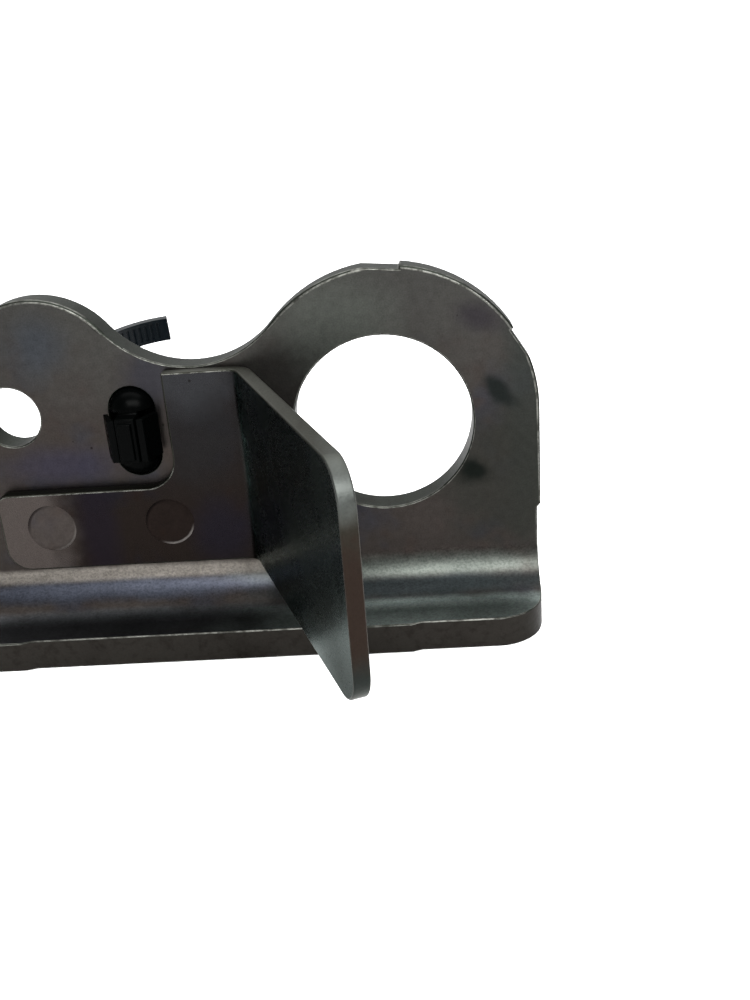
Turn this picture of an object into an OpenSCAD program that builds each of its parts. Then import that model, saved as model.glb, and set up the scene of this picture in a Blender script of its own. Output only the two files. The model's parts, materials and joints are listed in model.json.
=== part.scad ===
// Lifting-eye bracket: a thick pressed-steel angle plate with a folded fin plate
// spot-welded to its front, and a moulded harness tie pushed through its slot.
// The origin is the centre of the lifting eye on the web's front face.
// +X runs to the right along the web, +Y to the back and +Z up.

/* [Bracket plate] */
// Sheet thickness of the bracket
plate_t = 4.5; // [3.5:0.1:6]
// Overall length from the left end to the web's right edge
bracket_len = 86.3; // [80:0.1:110]
// Depth of the flange in front of the web
flange_depth = 10.6; // [9:0.1:16]
// Height from the lifting eye's centre down to the flange's upper face
flange_drop = 25.7; // [24:0.1:36]
// Inside radius of the bend between web and flange
bend_r = 7; // [4:0.1:8]
// Radius of the flange's two front corners
flange_corner_r = 7; // [3:0.1:9]

/* [Lifting eye] */
// Diameter of the lifting hole
eye_d = 25; // [20:0.1:28]
// Outside radius of the ring round the lifting hole
ring_r = 20.8; // [19:0.1:24]
// Sideways offset of the ring from the lifting hole
ring_x = 0.9; // [0:0.1:1.5]
// Upward offset of the ring from the lifting hole
ring_z = 1; // [0:0.1:1.5]
// Radius of the valley between the ring and the bolt lobe
valley_r = 15; // [11:0.1:17]

/* [Bolt hole] */
// Diameter of the bolt hole
bolt_d = 8.5; // [6.6:0.1:11]
// Distance of the bolt hole to the left of the lifting eye
bolt_x = 52.3; // [50:0.1:60]
// Height of the bolt hole above the lifting eye
bolt_z = 4.1; // [2:0.1:6]
// Radius of the lobe and of the left end round the bolt hole
lobe_r = 12.2; // [11:0.1:13]
// Distance of the lobe's centre to the right of the bolt hole
lobe_dx = 5.2; // [3:0.1:7]
// Height of the lobe's centre above the bolt hole
lobe_dz = 4; // [3:0.1:5]

/* [Trimming marks] */
// Depth of the trimming steps in the ring and the web's right edge
trim_depth = 0.5; // [0.2:0.05:0.8]
// How far the two carrier stubs stand out of the flange's front edge
stub_h = 0.45; // [0.2:0.05:0.8]
// Length of the carrier stub under the fin
stub_len = 11; // [6:0.5:14]
// Length of the carrier stub at the left end
left_stub_len = 6; // [4:0.5:9]

/* [Tie slot] */
// Width of the slot
slot_w = 6.5; // [6:0.1:7]
// Length of the slot, end to end
slot_len = 13; // [12:0.1:14]
// Distance of the slot to the left of the lifting eye
slot_x = 34.9; // [34:0.1:37]
// Height of the slot's centre above the lifting eye
slot_z = 1.1; // [0.5:0.1:2]

/* [Fin plate] */
// Sheet thickness of the fin plate
fin_t = 2; // [1.2:0.1:2.5]
// Angle between the fin and straight ahead
fin_lean = 21.2; // [10:0.1:30]
// Length of the fin from the fold
fin_len = 44.5; // [30:0.1:55]
// Inside radius of the fold
fold_r = 2; // [1:0.1:3]
// Distance of the fold's inside corner to the left of the lifting eye
fold_x = 19.6; // [18:0.1:22]
// Radius of the fin's two outer corners
fin_corner_r = 4.8; // [2:0.1:8]
// Height of the foot
foot_h = 11.75; // [9:0.05:14]
// Gap between the fin plate's top edge and the bottom of the valley
valley_gap = 0.3; // [0.2:0.1:2]
// Steel left between the slot and the fin plate's upright
slot_gap = 1.9; // [1:0.1:3]
// Length of the foot to the left of the upright
foot_len = 26.3; // [20:0.1:30]
// Radius of the concave corner between foot and upright
foot_fillet_r = 4.3; // [2:0.1:6]
// Radius of the foot's upper left corner
foot_top_r = 1.6; // [0.5:0.1:3]
// Radius of the foot's lower left corner
foot_low_r = 3.4; // [1:0.1:5]

/* [Spot welds] */
// Diameter of each weld mark
weld_d = 7; // [5:0.1:8]
// Distance between the two welds
weld_pitch = 17.2; // [12:0.1:18]
// Distance of the right weld to the left of the upright's left edge
weld_inset = 1.75; // [0:0.05:3]
// Height of the welds above the foot's lower edge
weld_rise = 6.5; // [5:0.1:7]
// Depth of each dent below the foot's face
weld_dent = 0.15; // [0.05:0.05:0.3]
// Depth of each nugget into the bracket plate
weld_root = 1.2; // [0.5:0.1:2]

/* [Harness tie] */
// Clearance round the tie's plug in the slot
plug_gap = 0.2; // [0.1:0.05:0.4]
// How far the plug stands in front of the web
plug_out = 2.6; // [2:0.1:4]
// How far the plug's nose stands in front of the web
nose_out = 5.4; // [4.5:0.1:8]
// Width of the nose
nose_w = 2.7; // [2:0.1:3]
// Height of the snap wings
wing_h = 6.4; // [5:0.1:8]
// Thickness of the snap wings
wing_t = 0.9; // [0.6:0.1:1.2]
// How far each wing's free end reaches past the slot's edge
wing_catch = 0.75; // [0.4:0.05:1]
// Length of the spring dish along the slot
dish_len = 18; // [16:0.1:20]
// Width of the spring dish
dish_w = 11.4; // [10:0.1:14]
// Height of the dish behind the web
dish_h = 2; // [1.5:0.1:3]
// Wall of the dish
dish_wall = 0.9; // [0.6:0.1:1.2]
// Width of the strap
strap_w = 4; // [2.5:0.1:4.8]
// Thickness of the strap
strap_t = 1.2; // [1:0.1:1.4]
// Radius that the cut strap is curled to
strap_r = 15; // [11:0.1:20]
// Angle that the strap turns through from the head to its cut end
strap_sweep = 150; // [90:1:200]
// Tilt of the head and strap, up towards the back
strap_tilt = 13; // [0:1:15]

/* [Hidden] */
$fn = 96;

steel = [0.36, 0.35, 0.33];
fin_steel = [0.28, 0.27, 0.27];
weld_steel = [0.42, 0.38, 0.36];
nylon = [0.03, 0.035, 0.035];

// A small overlap that keeps cuts clean
eps = 0.01;

// Bracket, worked out from the sizes above
right_x = ring_x + ring_r;
left_x = right_x - bracket_len;
ring_c = [ring_x, ring_z];
bolt_c = [-bolt_x, bolt_z];
lobe_c = bolt_c + [lobe_dx, lobe_dz];
bend_z = -flange_drop + bend_r;
base_z = -flange_drop - plate_t;
front_y = -flange_depth;
// The web narrows by one trimming step below this height
step_z = bend_z + 5.4;
low_right_x = right_x - trim_depth;

// Centre of a circle of radius r that touches circles (a, ra) and (b, rb) from above
function touching(a, ra, b, rb, r) =
    let(d = b - a, L = norm(d), p = ra + r, q = rb + r,
        u = (L * L + p * p - q * q) / (2 * L), v = sqrt(p * p - u * u))
    a + d / L * u + [d[1], -d[0]] / L * v;
function unit(v) = v / norm(v);

valley_c = touching(ring_c, ring_r, lobe_c, lobe_r, valley_r);
valley_z = valley_c[1] - valley_r;

// Fin plate
slot_c = [-slot_x, slot_z];
upright_x = slot_c[0] + slot_w / 2 + slot_gap;
foot_low_z = bend_z + 0.1;
foot_top_z = foot_low_z + foot_h;
foot_left_x = upright_x - foot_len;
fin_top_z = valley_z - valley_gap;
fold_turn = 90 - fin_lean;
fold_start_x = -fold_x - fold_r * tan(fold_turn / 2);
fold_c = [fold_start_x, -fin_t - fold_r];
// The fin's straight length past the fold's arc
fin_flat = fin_len - fold_r * tan(fold_turn / 2);

// Welds
weld_z = foot_low_z + weld_rise;
weld_right_x = upright_x - weld_inset;
weld_left_x = weld_right_x - weld_pitch;

// Harness tie: the slot's centre on the web's front face is its own origin
plug_w = slot_w - 2 * plug_gap;
plug_len = slot_len - 2 * plug_gap;
// The dish starts at the web's back face and carries the head
dish_top_y = plate_t + dish_h;
wing_root_y = -nose_out + 0.9;
wing_tip_y = -0.6;
wing_tip_x = slot_w / 2 + wing_catch;
wing_root_x = nose_w / 2 + 0.15;
wing_angle = atan((wing_tip_x - wing_t - wing_root_x) / (wing_tip_y - wing_root_y));
head_w = strap_w + 2.4;
head_len = 6.6;
head_depth = 5.6;
passage_t = strap_t + 0.5;
passage_y = head_depth - 1 - passage_t;
pawl_t = 0.8;
pawl_len = 3.2;
pawl_angle = 14;
pawl_root_x = head_len / 2 - 1.35;
pawl_root_y = passage_y - 1.35;
// The strap bends about its root, a hinge line just outside the head
strap_root_gap = 0.15;
strap_root_r = strap_t / 2 + 0.08;
strap_root_x = -head_len / 2 - strap_root_gap - strap_root_r;
strap_root_y = passage_y - 1;
// The strap leaves the head at this angle round its curl, and its curl's centre
strap_turn = 251;
strap_c = [strap_root_x, strap_root_y] - strap_r * [cos(strap_turn), sin(strap_turn)];
tooth_pitch = 1.1;
tooth_depth = 0.25;

// ---------- flat shapes ----------

// A slot shape: a bar of width w with round ends, len long, along Y of the drawing
module stadium(w, len) {
    circle(d = w);
    for (s = [-1, 1]) translate([0, s * (len - w) / 2]) circle(d = w);
    square([w, len - w], center = true);
}

// A slice off a round edge: trim_depth deep at angle a, where it ends in a sharp
// shoulder, and running out to nothing at angle b
module trim_slice(c, r, a, b) {
    translate(c) polygon([
        (r - trim_depth) * [cos(a), sin(a)], (r + 1) * [cos(a), sin(a)],
        (r + 1) * [cos(b), sin(b)], (r + 5 * eps) * [cos(b), sin(b)]
    ]);
}

// Points along an arc about c from angle a to angle b
function arc(c, r, a, b, n) =
    [for (i = [0:n]) let(t = a + (b - a) * i / n) c + r * [cos(t), sin(t)]];

// Stand an XZ drawing up so that it runs from y0 back to y0 + t
module upright(y0, t) {
    translate([0, y0 + t, 0]) rotate([90, 0, 0]) linear_extrude(t) children();
}

// ---------- bracket ----------

// Outline of the web above the bend
module web_outline() {
    toward_ring = ring_c + ring_r * unit(valley_c - ring_c);
    toward_lobe = lobe_c + lobe_r * unit(valley_c - lobe_c);
    left_c = [left_x + lobe_r, bolt_c[1]];
    run = unit(left_c - lobe_c);
    off = lobe_r * [run[1], -run[0]];
    difference() {
        union() {
            polygon([
                [left_x, bend_z - eps], [low_right_x, bend_z - eps],
                [low_right_x, step_z - trim_depth], [right_x, step_z], [right_x, ring_z],
                ring_c, toward_ring, toward_lobe, lobe_c,
                lobe_c + off, left_c + off, left_c, [left_x, left_c[1]]
            ]);
            translate(ring_c) circle(r = ring_r, $fn = 160);
            translate(lobe_c) circle(r = lobe_r);
            translate(left_c) circle(r = lobe_r);
        }
        // A hair larger than touching, so that it crosses both circles cleanly
        translate(valley_c) circle(r = valley_r + 2 * eps);
        // The ring ends where the bend starts
        translate([left_x - 1, bend_z - eps - ring_r]) square([bracket_len + 2, ring_r]);
        trim_slice(ring_c, ring_r, 83, 98);
        trim_slice(ring_c, ring_r, 33, 19);
    }
}

// Side profile of the bend and flange, in Y and Z
module angle_profile() {
    c = [-bend_r, bend_z];
    intersection() {
        translate(c) difference() {
            circle(r = bend_r + plate_t);
            circle(r = bend_r);
        }
        translate([c[0], base_z - 1]) square([bend_r + plate_t + 1, bend_z - base_z + 1]);
    }
    translate([front_y - stub_h, base_z]) square([-bend_r - front_y + stub_h, plate_t]);
}

// A carrier stub on the flange's front edge, with a sloped right end
module stub(x1, len) {
    polygon([[x1 - len, front_y + eps], [x1 - len + 0.4, front_y - stub_h],
             [x1 - 1.4, front_y - stub_h], [x1, front_y + eps]]);
}

// Plan of the flange, with round front corners and two carrier stubs
module flange_plan() {
    r = flange_corner_r;
    translate([left_x, front_y + r]) square([low_right_x - left_x, plate_t - front_y - r]);
    translate([left_x + r, front_y]) square([low_right_x - left_x - 2 * r, r + eps]);
    for (x = [left_x + r, low_right_x - r]) translate([x, front_y + r]) circle(r = r);
    stub(3.6, stub_len);
    stub(left_x + r + left_stub_len, left_stub_len);
}

module bracket() {
    color(steel) difference() {
        union() {
            upright(0, plate_t) web_outline();
            intersection() {
                translate([left_x - 1, 0, 0]) rotate([90, 0, 90])
                    linear_extrude(bracket_len + 2) angle_profile();
                translate([0, 0, base_z - 1]) linear_extrude(bend_z - base_z + 1) flange_plan();
            }
        }
        upright(-eps, plate_t + 2 * eps) {
            circle(d = eye_d);
            translate(bolt_c) circle(d = bolt_d);
            translate(slot_c) stadium(slot_w, slot_len);
        }
        spot_weld(weld_left_x);
        spot_weld(weld_right_x);
    }
}

// ---------- fin plate ----------

// Plan of the folded strip: the flat, the fold and the fin
module strip_plan() {
    out = fold_r + fin_t;
    along = [cos(fold_turn), -sin(fold_turn)];
    square_off = [sin(fold_turn), cos(fold_turn)];
    polygon(concat(
        [[foot_left_x, -fin_t], [foot_left_x, 0]],
        arc(fold_c, out, 90, 90 - fold_turn, 16),
        [fold_c + out * square_off + fin_flat * along,
         fold_c + fold_r * square_off + fin_flat * along],
        arc(fold_c, fold_r, 90 - fold_turn, 90, 12)
    ));
}

// What is cut away above the foot, left of the upright
module above_foot() {
    f = foot_fillet_r;
    x = upright_x - f;
    high = fin_top_z - foot_top_z + 1;
    translate([x, foot_top_z + f]) circle(r = f);
    translate([foot_left_x - 1, foot_top_z]) square([x - foot_left_x + 1, high]);
    translate([x - eps, foot_top_z + f]) square([f + eps, high - f]);
}

// The waste outside a round corner of radius r whose arc is centred on the origin
module corner_waste(r, turn) {
    rotate(turn) difference() {
        square(r + 1);
        circle(r = r);
    }
}

module fin_plate() {
    r = fin_corner_r;
    color(fin_steel) difference() {
        translate([0, 0, foot_low_z]) linear_extrude(fin_top_z - foot_low_z) strip_plan();
        upright(-fin_t - 1, fin_t + 2) {
            above_foot();
            translate([foot_left_x + foot_low_r, foot_low_z + foot_low_r])
                corner_waste(foot_low_r, 180);
            translate([foot_left_x + foot_top_r, foot_top_z - foot_top_r])
                corner_waste(foot_top_r, 90);
        }
        translate([fold_c[0], fold_c[1], 0]) rotate([0, 0, -fold_turn])
            translate([fin_flat - r, 0, 0]) upright(fold_r - 1, fin_t + 2) {
                translate([0, fin_top_z - r]) corner_waste(r, 0);
                translate([0, foot_low_z + r]) corner_waste(r, -90);
            }
        spot_weld(weld_left_x);
        spot_weld(weld_right_x);
    }
}

// ---------- spot welds ----------

// The whole pocket of one weld, from in front of the foot to the nugget's root
module spot_weld(x) {
    translate([x, weld_root, weld_z]) rotate([90, 0, 0])
        cylinder(d = weld_d, h = weld_root + fin_t + 1);
}

// One nugget, its face dented below the foot's face and turned up at the rim
module weld_nugget(x) {
    rim = 0.5;
    color(weld_steel) translate([x, weld_root, weld_z]) rotate([90, 0, 0]) {
        difference() {
            cylinder(d = weld_d, h = weld_root + fin_t);
            translate([0, 0, weld_root + fin_t - weld_dent])
                cylinder(d1 = weld_d - 2 * rim, d2 = weld_d, h = weld_dent + eps);
        }
    }
}

module spot_weld_left() { weld_nugget(weld_left_x); }
module spot_weld_right() { weld_nugget(weld_right_x); }

// ---------- harness tie ----------

module at_slot() {
    translate([slot_c[0], 0, slot_c[1]]) children();
}

// The head and strap lean up towards the back, about the dish's outer face
module at_head() {
    at_slot() translate([0, dish_top_y, 0]) rotate([strap_tilt, 0, 0]) children();
}

// The plug with its rounded shoulders and the nose that carries the wings
module tie_foot() {
    shoulder = 1.1;
    color(nylon) at_slot() {
        difference() {
            union() {
                upright(-plug_out + shoulder, plug_out - shoulder + plate_t)
                    stadium(plug_w, plug_len);
                upright(-plug_out + shoulder / 2, shoulder) stadium(plug_w - 0.7, plug_len - 0.7);
                upright(-plug_out, shoulder) stadium(plug_w - 2, plug_len - 2);
            }
            // Side pockets that the wings fold into
            for (s = [-1, 1])
                translate([s * (nose_w / 2 + 2), -nose_out / 2 + 0.7, 0])
                    cube([4, nose_out + 1, wing_h + 0.6], center = true);
        }
        translate([-nose_w / 2, -nose_out + 0.6, -wing_h / 2])
            cube([nose_w, nose_out - 0.6 + eps, wing_h]);
        upright(-nose_out, 0.6 + eps) square([nose_w - 0.9, wing_h - 1.2], center = true);
    }
}

// One barb; side is -1 on the left and 1 on the right
module snap_wing(side) {
    len = (wing_tip_y - wing_root_y) / cos(wing_angle) - 0.25;
    color(nylon) at_slot() mirror([side < 0 ? 1 : 0, 0, 0])
        translate([wing_root_x, wing_root_y, -wing_h / 2 + 0.15]) rotate([0, 0, -wing_angle])
            linear_extrude(wing_h - 0.3)
                polygon([[0, 0], [wing_t, 0.35], [wing_t, len], [0.25, len]]);
}

module snap_wing_left() { snap_wing(-1); }
module snap_wing_right() { snap_wing(1); }

// The oval spring washer: a rim that presses on the web and a raised middle
module tie_dish() {
    rim = 1;
    step = dish_h / 2;
    color(nylon) at_slot() {
        upright(plate_t, step) difference() {
            stadium(dish_w, dish_len);
            stadium(dish_w - 2 * rim, dish_len - 2 * rim);
        }
        upright(plate_t + step - eps, dish_h - dish_wall - step + 2 * eps) difference() {
            stadium(dish_w - rim, dish_len - rim);
            stadium(dish_w - 3 * rim, dish_len - 3 * rim);
        }
        upright(dish_top_y - dish_wall, dish_wall) stadium(dish_w - 1.6 * rim, dish_len - 1.6 * rim);
        upright(plate_t, dish_h - eps) stadium(plug_w - 1, plug_len - 3);
    }
}

// The ratchet housing with its strap passage along X
module tie_head() {
    y0 = -1.1;
    color(nylon) at_head() difference() {
        translate([-head_len / 2, y0, -head_w / 2]) cube([head_len, head_depth - y0, head_w]);
        translate([-head_len, passage_y, -strap_w / 2 - 0.2])
            cube([2 * head_len, passage_t, strap_w + 0.4]);
        // Chamber in front of the passage for the pawl
        translate([-head_len / 2 + 1, passage_y - 1.5, -strap_w / 2 - 0.2])
            cube([head_len - 2, 1.5 + eps, strap_w + 0.4]);
        // The dish's middle ends where the head begins
        rotate([-strap_tilt, 0, 0]) translate([-head_len, -4, -head_w])
            cube([2 * head_len, 4, 2 * head_w]);
    }
}

// The ratchet tongue, which leans into the passage
module tie_pawl() {
    color(nylon) at_head()
        translate([pawl_root_x, pawl_root_y, 0]) mirror([1, 0, 0]) rotate([0, 0, pawl_angle])
            translate([0, 0, -strap_w / 2 + 0.05]) linear_extrude(strap_w - 0.1)
                polygon([[0, 0], [pawl_len, 0], [pawl_len, pawl_t + 0.35],
                         [pawl_len - 0.7, pawl_t], [0, pawl_t]]);
}

// The strap, curled from its round bending root to the square cut end
module tie_strap() {
    step = tooth_pitch / strap_r * 180 / PI;
    color(nylon) at_head() {
        translate([strap_root_x, strap_root_y, 0])
            cylinder(r = strap_root_r, h = strap_w - 0.4, center = true);
        translate([strap_c[0], strap_c[1], 0]) difference() {
            rotate([0, 0, strap_turn - strap_sweep]) rotate_extrude(angle = strap_sweep)
                translate([strap_r - strap_t / 2, -strap_w / 2]) square([strap_t, strap_w]);
            // Grooves between the teeth, on the inner face, inside two plain rails
            for (i = [2:floor(strap_sweep / step) - 1]) rotate([0, 0, strap_turn - i * step])
                translate([strap_r - strap_t / 2 - 0.5, -0.25, -strap_w / 2 + 0.6])
                    cube([0.5 + tooth_depth, 0.5, strap_w - 1.2]);
        }
    }
}

bracket();
fin_plate();
spot_weld_left();
spot_weld_right();
tie_foot();
snap_wing_left();
snap_wing_right();
tie_dish();
tie_head();
tie_pawl();
tie_strap();
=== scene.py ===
"""Looks for the lifting-eye bracket: plated steel, spot welds and a nylon harness tie."""

import json
import logging
import math
from dataclasses import dataclass, field
from enum import Enum
from typing import Sequence, Union

import bmesh
import bpy
from mathutils import Matrix, Vector

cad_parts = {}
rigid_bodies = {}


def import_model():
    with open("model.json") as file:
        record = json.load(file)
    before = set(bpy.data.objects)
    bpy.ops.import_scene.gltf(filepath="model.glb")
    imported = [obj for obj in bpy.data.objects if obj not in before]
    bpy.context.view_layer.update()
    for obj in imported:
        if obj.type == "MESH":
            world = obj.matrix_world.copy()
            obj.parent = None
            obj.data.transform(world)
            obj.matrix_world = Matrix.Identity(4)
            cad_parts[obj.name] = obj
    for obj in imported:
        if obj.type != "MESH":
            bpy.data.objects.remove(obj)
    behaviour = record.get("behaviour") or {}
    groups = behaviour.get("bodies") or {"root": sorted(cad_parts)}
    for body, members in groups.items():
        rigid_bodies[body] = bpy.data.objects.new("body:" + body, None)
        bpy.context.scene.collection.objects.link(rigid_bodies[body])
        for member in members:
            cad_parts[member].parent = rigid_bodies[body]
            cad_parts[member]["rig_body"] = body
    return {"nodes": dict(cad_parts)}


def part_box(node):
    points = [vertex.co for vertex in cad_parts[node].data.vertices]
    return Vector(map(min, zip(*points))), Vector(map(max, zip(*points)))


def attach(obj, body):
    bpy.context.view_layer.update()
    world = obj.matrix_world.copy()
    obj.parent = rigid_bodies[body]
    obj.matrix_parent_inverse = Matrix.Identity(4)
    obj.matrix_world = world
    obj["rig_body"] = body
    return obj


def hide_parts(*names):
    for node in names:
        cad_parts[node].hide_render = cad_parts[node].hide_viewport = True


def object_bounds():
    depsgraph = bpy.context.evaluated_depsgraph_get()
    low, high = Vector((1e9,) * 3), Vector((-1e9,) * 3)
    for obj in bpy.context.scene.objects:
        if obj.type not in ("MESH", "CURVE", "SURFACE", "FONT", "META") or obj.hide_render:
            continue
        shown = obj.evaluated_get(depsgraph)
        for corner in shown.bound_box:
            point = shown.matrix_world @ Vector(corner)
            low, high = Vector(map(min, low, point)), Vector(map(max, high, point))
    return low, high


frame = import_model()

Colour = tuple[float, float, float]
Number = Union["Value", float]
LOG = logging.getLogger("bracket")
MM = 0.001
CAD_BOX = [list(corner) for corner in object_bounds()]

# Driving sizes of the sheet metal, in millimetres. X, Y and Z are the frame's own.
PLATE = 4.5
BEND_RADIUS = 7.0
BEND_Z = -18.7
FIN_SHEET = 2.0
WELD_X = (-48.7, -31.5)
WELD_Z = -12.1
WELD_RADIUS = 3.52


# ---------- shader maths ----------


class Value:
    """A shader socket that Python's own operators work on."""

    def __init__(self, net: "Net", socket: bpy.types.NodeSocket) -> None:
        """Wraps a socket.

        Args:
            net: the material's node net.
            socket: the output socket.
        """
        self.net = net
        self.socket = socket

    def __add__(self, other: Number) -> "Value":
        """self + other."""
        return self.net.maths("ADD", self, other)

    def __sub__(self, other: Number) -> "Value":
        """self - other."""
        return self.net.maths("SUBTRACT", self, other)

    def __rsub__(self, other: Number) -> "Value":
        """other - self."""
        return self.net.maths("SUBTRACT", other, self)

    def __mul__(self, other: Number) -> "Value":
        """self * other."""
        return self.net.maths("MULTIPLY", self, other)

    def __truediv__(self, other: Number) -> "Value":
        """self / other."""
        return self.net.maths("DIVIDE", self, other)

    __radd__ = __add__
    __rmul__ = __mul__

    def ramp(self, low: float, high: float) -> "Value":
        """A smooth step from 0 at low to 1 at high.

        Args:
            low: where the step starts.
            high: where the step ends.

        Returns:
            The stepped value.
        """
        inputs = {"Value": self, "From Min": low, "From Max": high}
        node = self.net.node("ShaderNodeMapRange", {"interpolation_type": "SMOOTHSTEP"}, inputs)
        return self.net.out(node, "Result")


class Net:
    """The node net of one material."""

    def __init__(self, name: str) -> None:
        """Makes an empty material.

        Args:
            name: the material's name.
        """
        self.material = bpy.data.materials.new(name)
        self.material.use_nodes = True
        self.tree = self.material.node_tree
        self.tree.nodes.clear()
        self.place = self.out(self.node("ShaderNodeTexCoord"), "Object")
        axes = self.node("ShaderNodeSeparateXYZ", None, {"Vector": self.place})
        self.x, self.y, self.z = (self.out(axes, axis) for axis in "XYZ")

    def node(self, kind: str, settings: dict | None = None, inputs: dict | None = None) -> bpy.types.Node:
        """Adds a node.

        Args:
            kind: the node's type.
            settings: its own settings, which are set first.
            inputs: values or links of its sockets, by identifier or name.

        Returns:
            The node.
        """
        node = self.tree.nodes.new(kind)
        for key, value in (settings or {}).items():
            setattr(node, key, value)
        for key, value in (inputs or {}).items():
            socket = self.socket(node.inputs, key)
            if isinstance(value, Value):
                self.tree.links.new(value.socket, socket)
            elif isinstance(value, tuple) and socket.type == "RGBA":
                socket.default_value = (*value, 1.0)
            else:
                socket.default_value = value
        return node

    @staticmethod
    def socket(sockets: Sequence[bpy.types.NodeSocket], key: str | int) -> bpy.types.NodeSocket:
        """Finds a socket by its number, identifier or name.

        Args:
            sockets: the node's inputs or outputs.
            key: the number, identifier or name.

        Returns:
            The socket.
        """
        if isinstance(key, int):
            return sockets[key]
        by_id = [s for s in sockets if s.identifier == key]
        return (by_id or [s for s in sockets if s.name == key])[0]

    def out(self, node: bpy.types.Node, key: str | int) -> Value:
        """An output of a node as a Value."""
        return Value(self, self.socket(node.outputs, key))

    def maths(self, operation: str, *values: Number) -> Value:
        """A Math node on these values."""
        node = self.node("ShaderNodeMath", {"operation": operation}, dict(enumerate(values)))
        return self.out(node, "Value")

    def mix(
        self, a: Union[Value, Colour], b: Union[Value, Colour], factor: Number, blend: str = "MIX"
    ) -> Value:
        """Mixes two colours.

        Args:
            a: the colour at factor 0.
            b: the colour at factor 1.
            factor: how much of b.
            blend: the Mix node's blend type.

        Returns:
            The mixed colour.
        """
        settings = {"data_type": "RGBA", "blend_type": blend, "clamp_factor": True}
        inputs = {"Factor_Float": factor, "A_Color": a, "B_Color": b}
        return self.out(self.node("ShaderNodeMix", settings, inputs), "Result_Color")

    def shaded(self, colour: Value, level: Value) -> Value:
        """A colour made lighter or darker.

        Args:
            colour: the colour.
            level: what it is multiplied by, around 1.

        Returns:
            The shaded colour.
        """
        grey = self.node("ShaderNodeCombineColor", None, {"Red": level, "Green": level, "Blue": level})
        return self.mix(colour, self.out(grey, "Color"), 1.0, "MULTIPLY")

    def stretched(self, scale: Colour) -> Value:
        """The place with each axis scaled, for patterns with a direction."""
        node = self.node("ShaderNodeMapping", None, {"Vector": self.place, "Scale": scale})
        return self.out(node, "Vector")

    def noise(
        self, size: float, detail: float = 2.0, stretch: Colour | None = None, rough: float = 0.5
    ) -> Value:
        """Noise between 0 and 1.

        Args:
            size: the size of one blotch in metres.
            detail: the number of finer layers.
            stretch: scale of each axis, where the blotches are drawn out.
            rough: how strong the finer layers are.

        Returns:
            The noise.
        """
        vector = self.place if stretch is None else self.stretched(stretch)
        inputs = {"Vector": vector, "Scale": 1 / size, "Detail": detail, "Roughness": rough}
        return self.out(self.node("ShaderNodeTexNoise", None, inputs), 0)

    def pits(self, spacing: float, share: float, radius: float) -> Value:
        """Sparse round pits, 1 inside a pit.

        Args:
            spacing: metres between possible pits.
            share: the share of places that hold a pit.
            radius: a pit's radius in spacings.

        Returns:
            The mask.
        """
        settings = {"feature": "F1"}
        cells = self.node("ShaderNodeTexVoronoi", settings, {"Vector": self.place, "Scale": 1 / spacing})
        near = 1 - self.out(cells, "Distance").ramp(radius * 0.5, radius)
        chosen = self.node("ShaderNodeSeparateColor", None, {"Color": self.out(cells, "Color")})
        return near * self.maths("LESS_THAN", self.out(chosen, "Red"), share)

    def bump(self, height: Number, distance: float, before: Value | None = None) -> Value:
        """A Bump node's normal.

        Args:
            height: the height between 0 and 1.
            distance: what a height of 1 stands for, in metres.
            before: a normal that is already bumped.

        Returns:
            The new normal.
        """
        inputs = {"Height": height, "Distance": distance, "Strength": 1.0}
        if before is not None:
            inputs["Normal"] = before
        return self.out(self.node("ShaderNodeBump", None, inputs), "Normal")

    def surface(self, **inputs: Union[Number, Colour]) -> bpy.types.Material:
        """Ends the net in a Principled shader.

        Args:
            **inputs: its sockets, with an underscore for a space.

        Returns:
            The finished material.
        """
        named = {key.replace("_", " "): value for key, value in inputs.items()}
        shader = self.node("ShaderNodeBsdfPrincipled", None, named)
        self.node("ShaderNodeOutputMaterial", None, {"Surface": self.out(shader, "BSDF")})
        return self.material


# ---------- finishes ----------


def metres(sizes: Sequence[float]) -> tuple[float, ...]:
    """Millimetres to metres."""
    return tuple(size * MM for size in sizes)


@dataclass(frozen=True)
class Patch:
    """A soft-edged oval patch of another tint, seen square to the web. Sizes in millimetres.

    Attributes:
        x, z: the patch's middle.
        half_x, half_z: half its width and half its height, before it is turned.
        tint: its colour.
        strength: how much of the tint shows.
        soft: how far its edge fades, as a share of its size.
        turn: how far it is turned, in degrees.
        ragged: how much noise bends its outline.
        hollow: where a ring's inner edge lies, as a share of its size. 0 for a full patch.
        side: the direction of the only side that shows, or None.
    """

    x: float
    z: float
    half_x: float
    half_z: float
    tint: Colour
    strength: float = 1.0
    soft: float = 0.45
    turn: float = 0.0
    ragged: float = 0.7
    hollow: float = 0.0
    side: tuple[float, float] | None = None

    RIM_FADE = (-0.04, 0.02)
    SIDE_FADE = (0.5, 0.95)

    def mask(self, net: Net, wobble: Value) -> Value:
        """Where the patch lies.

        Args:
            net: the material's net.
            wobble: noise that bends the patch's outline.

        Returns:
            1 in the patch and 0 outside it, times its strength.
        """
        cos, sin = math.cos(math.radians(self.turn)), math.sin(math.radians(self.turn))
        right, rise = net.x - self.x * MM, net.z - self.z * MM
        across = (right * cos + rise * sin) / (self.half_x * MM)
        up = (rise * cos - right * sin) / (self.half_z * MM)
        away = net.maths("SQRT", across * across + up * up) + (wobble - 0.5) * self.ragged
        found = (1 - away.ramp(1 - self.soft, 1 + self.soft)) * self.strength
        if self.hollow:
            found = found * away.ramp(*(self.hollow + step for step in self.RIM_FADE))
        if self.side is not None:
            found = found * (across * self.side[0] + up * self.side[1]).ramp(*self.SIDE_FADE)
        return found


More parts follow.
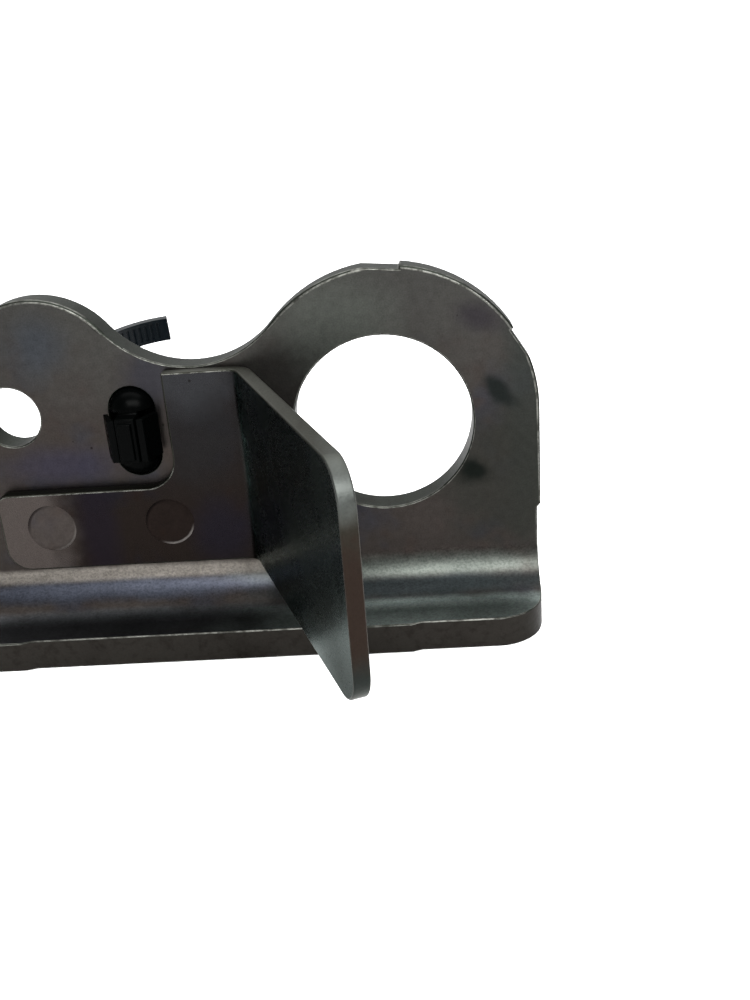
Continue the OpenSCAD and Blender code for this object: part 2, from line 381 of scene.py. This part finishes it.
@dataclass(frozen=True)
class PlatedFace:
    """The rolled face of zinc-plated sheet: a base tint with passivation colours, patches, speckle and pits.

    Attributes:
        name: the material's name.
        base, cool, warm: the plain tint and its two drifts.
        patches: marks on the front, and painted highlights, sheen and shade.
        roughness: the mean roughness.
        speckle, mottle: how strong the fine and the coarse brightness noise are.
        waviness: the depth of the sheet's slow waves, in millimetres.
        back: the tint of the back and the underside, or None for the front's.
        bend_z: the height under which the bend has stretched the grain, in millimetres, or None.
        fin_tint, fin_tip_sheen: the fin's tint, and its tip's lighter tint, which is a painted reflection of
            the floor, or None on a piece without a fin.
        edge_on: the tint of grazing reflections.
    """

    name: str
    base: Colour
    cool: Colour
    warm: Colour
    patches: tuple[Patch, ...] = ()
    roughness: float = 0.4
    speckle: float = 0.34
    mottle: float = 0.3
    waviness: float = 0.02
    back: Colour | None = None
    bend_z: float | None = None
    fin_tint: Colour | None = None
    fin_tip_sheen: Colour | None = None
    edge_on: Colour = (0.6, 0.6, 0.6)

    PIT = (0.003, 0.0026, 0.0022)
    BACK_DULL = 0.8
    BEHIND = (0.5, 2.0)
    UNDERNEATH = (26.3, 27.5)
    ON_FIN = (2.6, 6.0)
    TIP_DOWN = (-2.0, 17.0)
    TIP_OUT = (20.0, 40.0)
    GRAIN_FADE = 1.2

    def build(self) -> bpy.types.Material:
        """Makes the material."""
        net = Net(self.name)
        cloud, drift, fine = net.noise(9 * MM, 3), net.noise(4 * MM, 2), net.noise(0.22 * MM, 3)
        mottle = net.noise(1.1 * MM, 4, None, 0.65)
        colour = net.mix(self.base, self.cool, cloud.ramp(0.5, 0.68) * 0.8)
        colour = net.mix(colour, self.warm, drift.ramp(0.52, 0.75) * 0.6)
        for patch in self.patches:
            colour = net.mix(colour, patch.tint, patch.mask(net, drift))
        if self.back is not None:
            colour = self.backed(net, colour, cloud)
        metal: Number = 1.0
        if self.fin_tint is not None:
            colour = net.mix(colour, self.fin_tint, (-1 * net.y).ramp(*metres(self.ON_FIN)))
            # Painted reflection: the fin's tip is lighter, with less of the metal's own reflection.
            tip_sheen = (-1 * net.z).ramp(*metres(self.TIP_DOWN)) * (-1 * net.y).ramp(*metres(self.TIP_OUT))
            colour = net.mix(colour, self.fin_tip_sheen, tip_sheen)
            metal = 1 - tip_sheen * 0.8
        pits = net.pits(2.6 * MM, 0.22, 0.09)
        colour = net.mix(colour, self.PIT, pits * 0.75)
        if self.bend_z is not None:
            colour = self.grained(net, colour)
        level = 1 + (fine - 0.5) * self.speckle * 2 + (mottle - 0.5) * self.mottle * 2
        colour = net.shaded(colour, level)
        rough = self.roughness + (cloud - 0.5) * 0.16 + (fine - 0.5) * 0.12
        normal = net.bump(fine - pits * 1.5, 0.006 * MM)
        normal = net.bump(drift, self.waviness * MM, normal)
        edges = {"Specular_Tint": self.edge_on, "Specular_IOR_Level": 0.0}
        return net.surface(Base_Color=colour, Metallic=metal, Roughness=rough, Normal=normal, **edges)

    def backed(self, net: Net, colour: Value, cloud: Value) -> Value:
        """Covers the back and the underside with their own tint, so that no patch shows through.

        Args:
            net: the material's net.
            colour: the colour so far.
            cloud: noise that mottles the back.

        Returns:
            The colour with the back on it.
        """
        dull = tuple(part * self.BACK_DULL for part in self.back)
        behind, under = net.y.ramp(*metres(self.BEHIND)), (-1 * net.z).ramp(*metres(self.UNDERNEATH))
        mottled = net.mix(self.back, dull, cloud.ramp(0.4, 0.65))
        return net.mix(colour, mottled, net.maths("MAXIMUM", behind, under))

    def grained(self, net: Net, colour: Value) -> Value:
        """Darkens the bend and the flange along the grain that the bend has stretched open.

        Args:
            net: the material's net.
            colour: the colour so far.

        Returns:
            The darkened colour.
        """
        stretched = (-1 * net.z).ramp(-self.bend_z * MM, (self.GRAIN_FADE - self.bend_z) * MM)
        grain = net.noise(0.3 * MM, 3, (0.75, 1, 1), 0.6).ramp(0.4, 0.65)
        return net.mix(colour, net.mix(colour, (0.0, 0.0, 0.0), 0.3), grain * stretched)


@dataclass(frozen=True)
class CutEdge:
    """The sheared thickness of the sheet, a little lighter than its faces, with streaks across it."""

    name: str
    base: Colour
    dark: Colour
    patches: tuple[Patch, ...] = ()
    roughness: float = 0.46
    edge_on: Colour = (0.68, 0.68, 0.68)

    def build(self) -> bpy.types.Material:
        """Makes the material."""
        net = Net(self.name)
        streak = net.noise(1.1 * MM, 3, (1, 0.25, 1))
        cloud, fine = net.noise(6 * MM, 2), net.noise(0.25 * MM, 3)
        colour = net.mix(self.base, self.dark, streak.ramp(0.48, 0.72) * 0.6 + cloud.ramp(0.5, 0.75) * 0.4)
        for patch in self.patches:
            colour = net.mix(colour, patch.tint, patch.mask(net, streak))
        colour = net.shaded(colour, 1 + (fine - 0.5) * 0.5)
        normal = net.bump(streak, 0.05 * MM, net.bump(fine, 0.01 * MM))
        rough = self.roughness + (fine - 0.5) * 0.2
        edges = {"Specular_Tint": self.edge_on}
        return net.surface(Base_Color=colour, Metallic=1.0, Roughness=rough, Normal=normal, **edges)


@dataclass(frozen=True)
class BurrEdge:
    """The rolled-over or burred corner of the sheet: worn metal with a painted highlight, bright and uneven
    along its length.
    """

    name: str
    bright: Colour
    dull: Colour
    roughness: float = 0.5
    edge_on: Colour = (0.6, 0.6, 0.6)

    def build(self) -> bpy.types.Material:
        """Makes the material."""
        net = Net(self.name)
        along, fine = net.noise(1.6 * MM, 3, None, 0.65), net.noise(0.35 * MM, 2)
        worn_and_highlight = (along * 0.75 + fine * 0.25).ramp(0.36, 0.62)
        colour = net.mix(self.dull, self.bright, worn_and_highlight)
        normal = net.bump(fine, 0.03 * MM, net.bump(along, 0.06 * MM))
        rough = self.roughness - worn_and_highlight * 0.1
        edges = {"Specular_Tint": self.edge_on}
        return net.surface(Base_Color=colour, Metallic=1.0, Roughness=rough, Normal=normal, **edges)


@dataclass(frozen=True)
class Nylon:
    """Black moulded nylon, with a faint flow texture and a little dust."""

    name: str
    base: Colour
    dust: Colour
    roughness: float = 0.28
    gloss: float = 0.06

    def build(self) -> bpy.types.Material:
        """Makes the material."""
        net = Net(self.name)
        flow, fine = net.noise(2.2 * MM, 2), net.noise(0.3 * MM, 2)
        colour = net.mix(self.base, self.dust, flow.ramp(0.55, 0.8) * 0.3 + fine.ramp(0.62, 0.8) * 0.25)
        normal = net.bump(fine, 0.006 * MM, net.bump(flow, 0.05 * MM))
        rough = self.roughness + (flow - 0.5) * 0.14 + (fine - 0.5) * 0.08
        return net.surface(Base_Color=colour, Roughness=rough, Normal=normal, Specular_IOR_Level=self.gloss)


def painted_rim_light(x: float, tint: Colour, strength: float, inner: float, side: tuple[float, float]) -> Patch:
    """Painted light on one side of the rim round a weld's dent: a painted shadow or a painted highlight, as
    its tint is dark or bright.

    Args:
        x: the weld's place, in millimetres.
        tint: the painted shadow's or highlight's colour.
        strength: how much of it shows.
        inner: where the rim starts, as a share of the weld's radius.
        side: the direction of the side that shows.

    Returns:
        The patch.
    """
    return Patch(x, WELD_Z, WELD_RADIUS, WELD_RADIUS, tint, strength, 0.04, 0, 0.03, inner, side)


class Finish(Enum):
    """The finishes of the bracket's pieces; several carry painted highlights, sheen and shade in their
    colours.
    """

    WEB = PlatedFace(
        "plated_web",
        base=(0.0192, 0.0165, 0.0150),
        cool=(0.0158, 0.0158, 0.0190),
        warm=(0.0200, 0.0155, 0.0135),
        patches=(
            # Painted reflection: the upper web is lighter here, as it would mirror brighter floor further in
            # front.
            Patch(-15, 25, 80, 17, (0.0262, 0.0258, 0.0240), 1.0, 0.6),
            Patch(-5.5, 14, 7, 6, (0.0430, 0.0460, 0.0410), 0.9, 0.7),
            Patch(20, 2, 3.2, 17, (0.0135, 0.0155, 0.0142), 0.8, 0.6),
            Patch(18, -9, 10, 10, (0.0112, 0.0118, 0.0102), 0.8),
            Patch(-46.5, 14, 3.4, 3.4, (0.0208, 0.0235, 0.0275), 0.8, 0.7),
            Patch(-46, -3.5, 7, 2.6, (0.0155, 0.0145, 0.0215), 0.8, 0.7),
            Patch(-32, 8.5, 3.2, 4.2, (0.0150, 0.0150, 0.0195), 0.7, 0.7),
            Patch(13.6, 14.2, 3.0, 1.7, (0.0115, 0.0100, 0.0125), 0.7, 0.7, -20),
            Patch(16.0, 3.9, 2.7, 1.3, (0.0060, 0.0072, 0.0068), 1.0, 0.5, -46, 1.6),
            Patch(12.6, -7.7, 2.3, 1.7, (0.0034, 0.0042, 0.0036), 1.0, 0.6, -20, 1.8),
            # Painted highlight along the left bend, just under the foot.
            Patch(-42, -20.6, 30, 1.0, (0.1420, 0.1300, 0.1160), 1.0, 0.5),
            Patch(-42, -22.7, 30, 1.2, (0.0300, 0.0335, 0.0440), 0.9, 0.5),
            # Painted sheen on the left flange's top.
            Patch(-42, -25.7, 30, 0.8, (0.0340, 0.0350, 0.0370), 1.0, 0.5),
            # Painted highlight along the right bend.
            Patch(3, -21.8, 21, 1.4, (0.0430, 0.0480, 0.0430), 1.0, 0.7),
            # Painted sheen, in a teal tone, on the right flange's top.
            Patch(3, -25.75, 22, 0.62, (0.1200, 0.1430, 0.1340), 1.0, 0.5),
            # Painted shade: a darker, bluish band on the right bend below its painted highlight.
            Patch(3, -24.1, 21, 1.0, (0.0125, 0.0150, 0.0155), 1.0, 0.5),
        ),
        bend_z=BEND_Z,
        back=(0.0460, 0.0435, 0.0405),
    )
    # A darker copy of the plated steel for the fin plate: painted shade, for the foot in the fin's shadow and
    # for the fin, which faces the dark web.
    FIN = PlatedFace(
        "plated_fin_painted_shade",
        base=(0.0062, 0.0047, 0.0041),
        cool=(0.0050, 0.0048, 0.0062),
        warm=(0.0066, 0.0042, 0.0034),
        patches=(
            # Painted light: the foot's left part is lighter, out of the fin's shadow.
            Patch(-56, -12, 9.5, 14, (0.0290, 0.0245, 0.0225), 1.0, 0.35),
            Patch(-42, -12, 2.6, 14, (0.0050, 0.0040, 0.0056), 0.8, 0.6),
            Patch(-26, 3, 8, 9, (0.0066, 0.0065, 0.0068), 0.8, 0.6),
            Patch(-24, -14, 4, 4.5, (0.0050, 0.0044, 0.0064), 0.8, 0.7),
            Patch(-26, 9, 6, 5, (0.0135, 0.0138, 0.0150), 0.9, 0.6),
        ),
        roughness=0.27,
        speckle=0.2,
        mottle=0.14,
        waviness=0.006,
        fin_tint=(0.0044, 0.0057, 0.0055),
        # The tip's lighter tint is a painted reflection of the floor.
        fin_tip_sheen=(0.0075, 0.0080, 0.0072),
        edge_on=(0.82, 0.9, 0.88),
    )
    CUT = CutEdge("cut_edge", (0.0155, 0.0178, 0.0146), (0.0095, 0.0100, 0.0080))
    # A darker, browner copy of the cut edge for the flange's sheared front: a brown tone and painted shade.
    FLANGE_CUT = CutEdge("flange_cut_edge_painted_shade", (0.0140, 0.0128, 0.0112), (0.0080, 0.0070, 0.0060))
    FIN_CUT = CutEdge(
        "fin_cut_edge",
        (0.0160, 0.0165, 0.0130),
        (0.0100, 0.0098, 0.0078),
        patches=(
            Patch(-4, -6, 7, 9, (0.0120, 0.0078, 0.0062), 0.9, 0.5),
            Patch(-4, -17, 7, 4, (0.0085, 0.0110, 0.0105), 0.9, 0.6),
            # Painted glint at the fin's outer corner.
            Patch(-3.5, 6.8, 2.6, 2.6, (0.0480, 0.0520, 0.0490), 0.9, 0.7),
        ),
        edge_on=(0.82, 0.82, 0.8),
    )
    # Worn metal and a painted highlight on the rounded corners.
    BURR = BurrEdge("burr_edge", (0.088, 0.089, 0.081), (0.021, 0.021, 0.0185))
    # A lighter copy of the weld mark, painted light: this weld lies on the foot's lit part.
    WELD_LEFT = PlatedFace(
        "weld_mark_left_painted_light",
        (0.0262, 0.0222, 0.0205),
        (0.0225, 0.0205, 0.0225),
        (0.0275, 0.0215, 0.0190),
        patches=(
            # Painted shadow on the dent rim's upper left, painted highlight on its lower right.
            painted_rim_light(WELD_X[0], (0.0085, 0.0070, 0.0065), 0.9, 0.9, (-0.8, 0.6)),
            painted_rim_light(WELD_X[0], (0.0700, 0.0640, 0.0600), 0.6, 0.92, (0.7, -0.7)),
        ),
    )
    # A darker copy of the weld mark, painted shade: this weld lies in the fin's shadow.
    WELD_RIGHT = PlatedFace(
        "weld_mark_right_painted_shade",
        (0.0066, 0.0048, 0.0042),
        (0.0054, 0.0050, 0.0060),
        (0.0074, 0.0046, 0.0036),
        patches=(
            # Painted shadow on the dent rim's upper left, painted highlight on its lower right.
            painted_rim_light(WELD_X[1], (0.0028, 0.0022, 0.0020), 0.9, 0.9, (-0.8, 0.6)),
            painted_rim_light(WELD_X[1], (0.0800, 0.0740, 0.0700), 1.0, 0.92, (0.45, -0.89)),
        ),
    )
    TIE = Nylon("black_nylon", (0.0003, 0.0004, 0.0004), (0.0008, 0.0010, 0.0010), 0.3, 0.012)
    BAND = Nylon("band_nylon", (0.0010, 0.0022, 0.0032), (0.0040, 0.0052, 0.0062), 0.34, 0.1)


# ---------- pieces ----------


def select_only(piece: bpy.types.Object) -> None:
    """Makes a piece the active one and the only one selected."""
    bpy.ops.object.select_all(action="DESELECT")
    piece.select_set(True)
    bpy.context.view_layer.objects.active = piece


class Skin(Enum):
    """Which finish a face of folded sheet takes, as the number of its material slot."""

    FACE = 0
    CUT = 1
    # The flange's sheared front, which takes a copy of the cut edge darkened with painted shade.
    FRONT = 2
    BURR = 3


@dataclass
class RoundedPiece:
    """A CAD node's own shape with its corners rounded, standing for the node.

    Attributes:
        node: the CAD node.
        name: the piece's name.
        slot: the material slot of the record that it stands for; not used.
        finishes: its materials, in the order of Skin, the last one for its corners.
        radius, segments: the corners' width and the number of steps in them.
        corner_angle: the angle in degrees from which an edge is a corner.
        flat_angle: the angle in degrees up to which triangles are joined, or 0 for none.
        piece: the finished object.
    """

    node: str
    name: str
    slot: str
    finishes: tuple[Finish, ...]
    radius: float = 0.15 * MM
    segments: int = 2
    corner_angle: float = 35.0
    flat_angle: float = 0.4
    piece: bpy.types.Object = field(init=False, default=None)

    def build(self) -> bpy.types.Object:
        """Copies the node, rounds it, dresses it and sets it on its body.

        Returns:
            The finished piece.
        """
        self.copy_node()
        self.round_corners()
        self.dress()
        self.smooth()
        source = frame["nodes"][self.node]
        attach(self.piece, source["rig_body"])
        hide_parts(self.node)
        LOG.info("%s: %d faces", self.name, len(self.piece.data.polygons))
        return self.piece

    def copy_node(self) -> None:
        """Makes the copy, merges its loose triangles and joins those that lie flat."""
        mesh = frame["nodes"][self.node].data.copy()
        mesh.name = self.name
        mesh.materials.clear()
        self.piece = bpy.data.objects.new(self.name, mesh)
        bpy.context.scene.collection.objects.link(self.piece)
        for finish in self.finishes:
            mesh.materials.append(MATERIALS[finish])
        select_only(self.piece)
        bpy.ops.object.mode_set(mode="EDIT")
        bpy.ops.mesh.select_mode(type="VERT")
        bpy.ops.mesh.select_all(action="SELECT")
        bpy.ops.mesh.remove_doubles(threshold=0.002 * MM)
        bpy.ops.mesh.customdata_custom_splitnormals_clear()
        if self.flat_angle:
            bpy.ops.mesh.dissolve_limited(angle_limit=math.radians(self.flat_angle))
        bpy.ops.object.mode_set(mode="OBJECT")
        for polygon in mesh.polygons:
            polygon.material_index = self.skin_of(polygon)

    def skin_of(self, polygon: bpy.types.MeshPolygon) -> int:
        """The material slot of a face of the unrounded shape."""
        return 0

    def roundness(self, edge: bmesh.types.BMEdge) -> float:
        """How round an edge is made, as a share of the piece's radius.

        Args:
            edge: an edge of the unrounded shape.

        Returns:
            0 for an edge that stays as it is, up to 1.
        """
        return float(edge.is_manifold and edge.calc_face_angle(0) > math.radians(self.corner_angle))

    def round_corners(self) -> None:
        """Rounds the corners with a bevel whose width follows each edge's weight."""
        work = bmesh.new()
        work.from_mesh(self.piece.data)
        weights = work.edges.layers.float.new("bevel_weight_edge")
        for edge in work.edges:
            edge[weights] = self.roundness(edge)
        work.to_mesh(self.piece.data)
        work.free()
        modifier = self.piece.modifiers.new("rounding", "BEVEL")
        modifier.limit_method = "WEIGHT"
        modifier.width = self.radius
        modifier.segments = self.segments
        modifier.use_clamp_overlap = False
        modifier.loop_slide = False
        modifier.material = len(self.finishes) - 1
        bpy.ops.object.modifier_apply(modifier=modifier.name)

    def dress(self) -> None:
        """Gives each face its finish. The plain piece has one."""

    def smooth(self) -> None:
        """Shades the piece smooth across shallow angles, with flat faces kept flat."""
        bpy.ops.object.shade_smooth_by_angle(angle=math.radians(self.corner_angle))
        modifier = self.piece.modifiers.new("weighted", "WEIGHTED_NORMAL")
        modifier.keep_sharp = True
        modifier.weight = 90
        bpy.ops.object.modifier_apply(modifier=modifier.name)


@dataclass
class SheetPiece(RoundedPiece):
    """A piece of sheet metal, whose faces, cut edges and corners have finishes of their own."""

    weld_x: tuple[float, ...] = metres(WELD_X)
    weld_z: float = WELD_Z * MM
    weld_reach: float = 3.7 * MM

    def roundness(self, edge: bmesh.types.BMEdge) -> float:
        """The pockets that the welds fill keep their corners."""
        middle = (edge.verts[0].co + edge.verts[1].co) / 2
        if any(math.hypot(middle.x - x, middle.z - self.weld_z) < self.weld_reach for x in self.weld_x):
            return 0.0
        return super().roundness(edge)

    def is_face(self, centre: Vector, normal: Vector) -> bool:
        """Whether a face is part of the rolled sheet and not of its cut edge."""
        raise NotImplementedError

    def skin_of(self, polygon: bpy.types.MeshPolygon) -> int:
        """The rolled face's slot or the cut edge's."""
        return (Skin.FACE if self.is_face(polygon.center, polygon.normal) else Skin.CUT).value

    def dress(self) -> None:
        """Leaves the burr finish only where a rounded corner meets the sheet's face."""
        for polygon in self.piece.data.polygons:
            if polygon.material_index == Skin.BURR.value and not self.is_burr(polygon.center, polygon.normal):
                polygon.material_index = Skin.CUT.value

    def is_burr(self, centre: Vector, normal: Vector) -> bool:
        """Whether a rounded corner's face lies next to the sheet's face and takes the bright finish of worn
        metal and painted highlight.
        """
        return abs(normal.y) > 0.75 or abs(normal.z) > 0.75


@dataclass
class EyeBracket(SheetPiece):
    """The thick angle plate with the lifting eye.

    Attributes:
        plate, bend_radius, bend_height: the sheet's thickness and its bend.
        ring, lobe, slot_at: x, z and radius of the circles round the eye, the bolt hole and the slot.
    """

    plate: float = PLATE * MM
    bend_radius: float = BEND_RADIUS * MM
    bend_height: float = BEND_Z * MM
    ring: tuple[float, float, float] = (0.9 * MM, 1.0 * MM, 20.8 * MM)
    lobe: tuple[float, float, float] = (-47.1 * MM, 8.1 * MM, 12.2 * MM)
    slot_at: tuple[float, float, float] = (-34.9 * MM, 1.1 * MM, 7.2 * MM)

    def by_slot(self, place: Vector) -> bool:
        """Whether a place lies on the slot's edge, which stays dull."""
        return math.hypot(place.x - self.slot_at[0], place.z - self.slot_at[1]) < self.slot_at[2]

    def roundness(self, edge: bmesh.types.BMEdge) -> float:
        """Rolled over most round the ring and the lobe, where the blanking die bit first."""
        if not super().roundness(edge):
            return 0.0
        middle = (edge.verts[0].co + edge.verts[1].co) / 2
        if abs(edge.verts[0].co.y - edge.verts[1].co.y) > 0.1 * MM:
            return 0.4 if middle.z > self.bend_height else 0.3
        if self.by_slot(middle):
            return 0.25
        if abs(middle.y) > 0.05 * MM or middle.z < self.bend_height:
            return 0.45
        for x, z, radius in (self.ring, self.lobe):
            if abs(math.hypot(middle.x - x, middle.z - z) - radius) < 0.1 * MM:
                return 1.0
        return 0.5

    def is_face(self, centre: Vector, normal: Vector) -> bool:
        """Faces of the web, of the bend and of the flange."""
        if abs(normal.y) > 0.99:
            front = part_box(self.node)[0].y
            return centre.y > front + self.bend_radius / 2 or centre.z > self.bend_height
        if abs(normal.x) > 0.02 or centre.z > self.bend_height + 0.1 * MM:
            return False
        if abs(normal.z) > 0.99:
            return True
        arm = math.hypot(centre.y + self.bend_radius, centre.z - self.bend_height)
        inner, outer = self.bend_radius, self.bend_radius + self.plate
        return centre.y > -self.bend_radius and min(abs(arm - inner), abs(arm - outer)) < 0.2 * MM

    def is_burr(self, centre: Vector, normal: Vector) -> bool:
        """Everywhere along the sheet's faces but at the slot."""
        return super().is_burr(centre, normal) and not self.by_slot(centre)

    def skin_of(self, polygon: bpy.types.MeshPolygon) -> int:
        """The flange's sheared front takes a darker copy of the cut edge, painted shade."""
        found = super().skin_of(polygon)
        low = found == Skin.CUT.value and polygon.center.z < self.bend_height
        return Skin.FRONT.value if low else found


@dataclass
class FinPlate(SheetPiece):
    """The thin folded plate whose foot is welded to the web.

    Attributes:
        thickness: the sheet's.
        lean: the fin's angle from straight ahead, in degrees.
        foot_top: the heights between which the foot's upper edge lies.
        top: the height above which an edge is the upright's upper edge.
    """

    thickness: float = FIN_SHEET * MM
    lean: float = 21.2
    foot_top: tuple[float, float] = (-9 * MM, -4 * MM)
    top: float = 8.8 * MM

    def is_face(self, centre: Vector, normal: Vector) -> bool:
        """Faces of the foot, of the fold and of the fin."""
        if abs(normal.z) > 0.3:
            return False
        out = Vector((math.sin(math.radians(self.lean)), -math.cos(math.radians(self.lean)), 0))
        if centre.y > -self.thickness * 1.05:
            return abs(normal.y) > 0.3
        return abs(normal.dot(out)) < 0.95

    def is_burr(self, centre: Vector, normal: Vector) -> bool:
        """Only the upper edges of the foot and the upright get the bright finish of worn metal and painted
        highlight.
        """
        upper = self.foot_top[0] < centre.z < self.foot_top[1] or centre.z > self.top
        return normal.y < -0.75 and centre.y > -self.thickness * 1.1 and upper


@dataclass
class TiePlug(RoundedPiece):
    """The tie's plug, with its shoulders smoothed into one dome.

    Attributes:
        width, length, height: the dome's.
        middle: the plug's middle on the web's front face.
        nose: the size of the box round the nose, which stands out of the dome.
    """

    width: float = 6.1 * MM
    length: float = 12.6 * MM
    height: float = 2.6 * MM
    middle: Colour = (-34.9 * MM, 0.0, 1.1 * MM)
    nose: Colour = (2.72 * MM, 7 * MM, 6.41 * MM)

    def copy_node(self) -> None:
        """Copies the node and keeps only what lies inside the dome or in the nose."""
        super().copy_node()
        kept = self.dome()
        modifier = self.piece.modifiers.new("dome", "BOOLEAN")
        modifier.operation, modifier.solver, modifier.use_self = "INTERSECT", "EXACT", True
        modifier.object = kept
        select_only(self.piece)
        bpy.ops.object.modifier_apply(modifier=modifier.name)
        bpy.data.objects.remove(kept, do_unlink=True)

    def dome(self) -> bpy.types.Object:
        """A long dome over the whole plug, joined with a box round the nose.

        Returns:
            The shape to keep.
        """
        segments = 64
        half = self.width / 2 + 0.05 * MM
        turn = (math.pi / 2, math.pi / segments, 0)
        bpy.ops.object.select_all(action="DESELECT")
        bpy.ops.mesh.primitive_uv_sphere_add(segments=segments, ring_count=32, radius=half, rotation=turn)
        dome = bpy.context.object
        bpy.ops.object.transform_apply(location=False, rotation=True, scale=False)
        for vertex in dome.data.vertices:
            place = vertex.co
            if abs(place.z) > 0.001 * MM:
                place.z += math.copysign((self.length - self.width) / 2, place.z)
            place.y *= self.height / half if place.y < 0 else 40
            vertex.co = place + Vector(self.middle)
        front = Vector(self.middle) - Vector((0, self.nose[1] / 2 - 0.5 * MM, 0))
        bpy.ops.mesh.primitive_cube_add(size=1, location=front, scale=self.nose)
        dome.select_set(True)
        bpy.context.view_layer.objects.active = dome
        bpy.ops.object.join()
        return dome


@dataclass
class HarnessTie:
    """The snap-in cable tie: plug, wings, spring dish, ratchet housing, pawl and cut band."""

    def build(self) -> None:
        """Makes the tie's pieces."""
        nylon = (Finish.TIE,)
        TiePlug("tie_foot", "tie_plug", "black_nylon", nylon, 0.15 * MM, 3).build()
        RoundedPiece("snap_wing_left", "tie_wing_left", "black_nylon", nylon, 0.12 * MM).build()
        RoundedPiece("snap_wing_right", "tie_wing_right", "black_nylon", nylon, 0.12 * MM).build()
        RoundedPiece("tie_dish", "tie_spring_dish", "black_nylon", nylon, 0.15 * MM, 3).build()
        RoundedPiece("tie_head", "tie_housing", "black_nylon", nylon, 0.3 * MM, 3).build()
        RoundedPiece("tie_pawl", "tie_tongue", "black_nylon", nylon, 0.08 * MM).build()
        RoundedPiece("tie_strap", "tie_band", "strap_nylon", (Finish.BAND,), 0.05 * MM).build()


# ---------- studio ----------


@dataclass
class Studio:
    """Camera, pale floor and soft lights."""

    camera_at: Colour = (0.00456, -0.13321, 0.04213)
    pitch: float = 68.159
    turn: float = 2.824
    roll: float = -4.262
    lens: float = 36.0
    floor_radius: float = 0.9
    front_light: float = 0.3
    back_light: float = 1.15
    aim: Colour = (-0.02, -0.01, -0.01)

    def camera(self) -> None:
        """Sets the camera where the object is seen from."""
        data = bpy.data.cameras.new("camera")
        data.lens, data.sensor_width = self.lens, 36.0
        data.clip_start, data.clip_end = 0.005, 50
        camera = bpy.data.objects.new("camera", data)
        turn = Matrix.Rotation(math.radians(self.turn), 4, "Z")
        pitch = Matrix.Rotation(math.radians(self.pitch), 4, "X")
        roll = Matrix.Rotation(math.radians(self.roll), 4, "Z")
        camera.matrix_world = Matrix.Translation(self.camera_at) @ turn @ pitch @ roll
        bpy.context.scene.collection.objects.link(camera)
        bpy.context.scene.camera = camera

    def floor(self) -> None:
        """Lays a round pale floor that the flange stands on."""
        low = CAD_BOX[0][2]
        bpy.ops.object.select_all(action="DESELECT")
        bpy.ops.mesh.primitive_circle_add(
            vertices=128, radius=self.floor_radius, fill_type="NGON", location=(0, 0, low)
        )
        floor = bpy.context.object
        floor.name = "floor"
        net = Net("pale_floor")
        grain = net.noise(3 * MM, 2)
        floor.data.materials.append(net.surface(Base_Color=(0.88, 0.88, 0.88), Roughness=0.7 + grain * 0.1))

    def surroundings(self) -> None:
        """Light from all round, brighter behind the object than in front of it."""
        world = bpy.data.worlds.new("world")
        world.use_nodes = True
        tree = world.node_tree
        coordinates = tree.nodes.new("ShaderNodeTexCoord")
        axes = tree.nodes.new("ShaderNodeSeparateXYZ")
        span = tree.nodes.new("ShaderNodeMapRange")
        span.interpolation_type = "SMOOTHSTEP"
        ends = {"From Min": -0.5, "From Max": 0.6, "To Min": self.front_light, "To Max": self.back_light}
        for key, value in ends.items():
            span.inputs[key].default_value = value
        tree.links.new(coordinates.outputs["Generated"], axes.inputs["Vector"])
        tree.links.new(axes.outputs["Y"], span.inputs["Value"])
        tree.links.new(span.outputs["Result"], tree.nodes["Background"].inputs["Strength"])
        tree.nodes["Background"].inputs["Color"].default_value = (1, 1, 1, 1)
        bpy.context.scene.world = world

    def light(self, name: str, at: Colour, size: tuple[float, float], watts: float) -> None:
        """Adds a rectangular soft light aimed at the middle of the object.

        Args:
            name: the light's name.
            at: its place.
            size: its width and height in metres.
            watts: its power.
        """
        data = bpy.data.lights.new(name, "AREA")
        data.shape, data.size, data.size_y = "RECTANGLE", size[0], size[1]
        data.energy = watts
        light = bpy.data.objects.new(name, data)
        light.location = at
        light.rotation_euler = (Vector(at) - Vector(self.aim)).to_track_quat("Z", "Y").to_euler()
        bpy.context.scene.collection.objects.link(light)

    def build(self) -> None:
        """Makes the whole studio."""
        self.camera()
        self.floor()
        self.light("front_softbox", (0.10, -0.42, 0.32), (0.55, 0.22), 8.0)
        self.light("top_softbox", (0.0, 0.25, 0.9), (1.4, 1.2), 26.0)
        self.surroundings()
        bpy.context.scene.view_settings.view_transform = "Standard"


MATERIALS: dict[Finish, bpy.types.Material] = {}


def main() -> None:
    logging.basicConfig(level=logging.INFO, format="%(message)s")
    for finish in Finish:
        MATERIALS[finish] = finish.value.build()
    # The flange's sheared front takes a darker copy of the cut edge: painted shade.
    thick = (Finish.WEB, Finish.CUT, Finish.FLANGE_CUT, Finish.BURR)
    # The fin plate takes a darker copy of the plated steel: painted shade.
    thin = (Finish.FIN, Finish.FIN_CUT, Finish.FIN_CUT, Finish.BURR)
    EyeBracket("bracket", "eye_bracket", "plated_steel", thick, 0.5 * MM, 3).build()
    FinPlate("fin_plate", "fin_sheet", "plated_sheet", thin, 0.25 * MM, 3).build()
    # The two welds' finishes are a lit and a shaded copy of one mark: painted light and shade.
    for side, finish in (("left", Finish.WELD_LEFT), ("right", Finish.WELD_RIGHT)):
        node, name = f"spot_weld_{side}", f"weld_{side}"
        RoundedPiece(node, name, "weld_mark", (finish,), 0.06 * MM, flat_angle=0).build()
    HarnessTie().build()
    Studio().build()


if __name__ == "__main__":
    main()
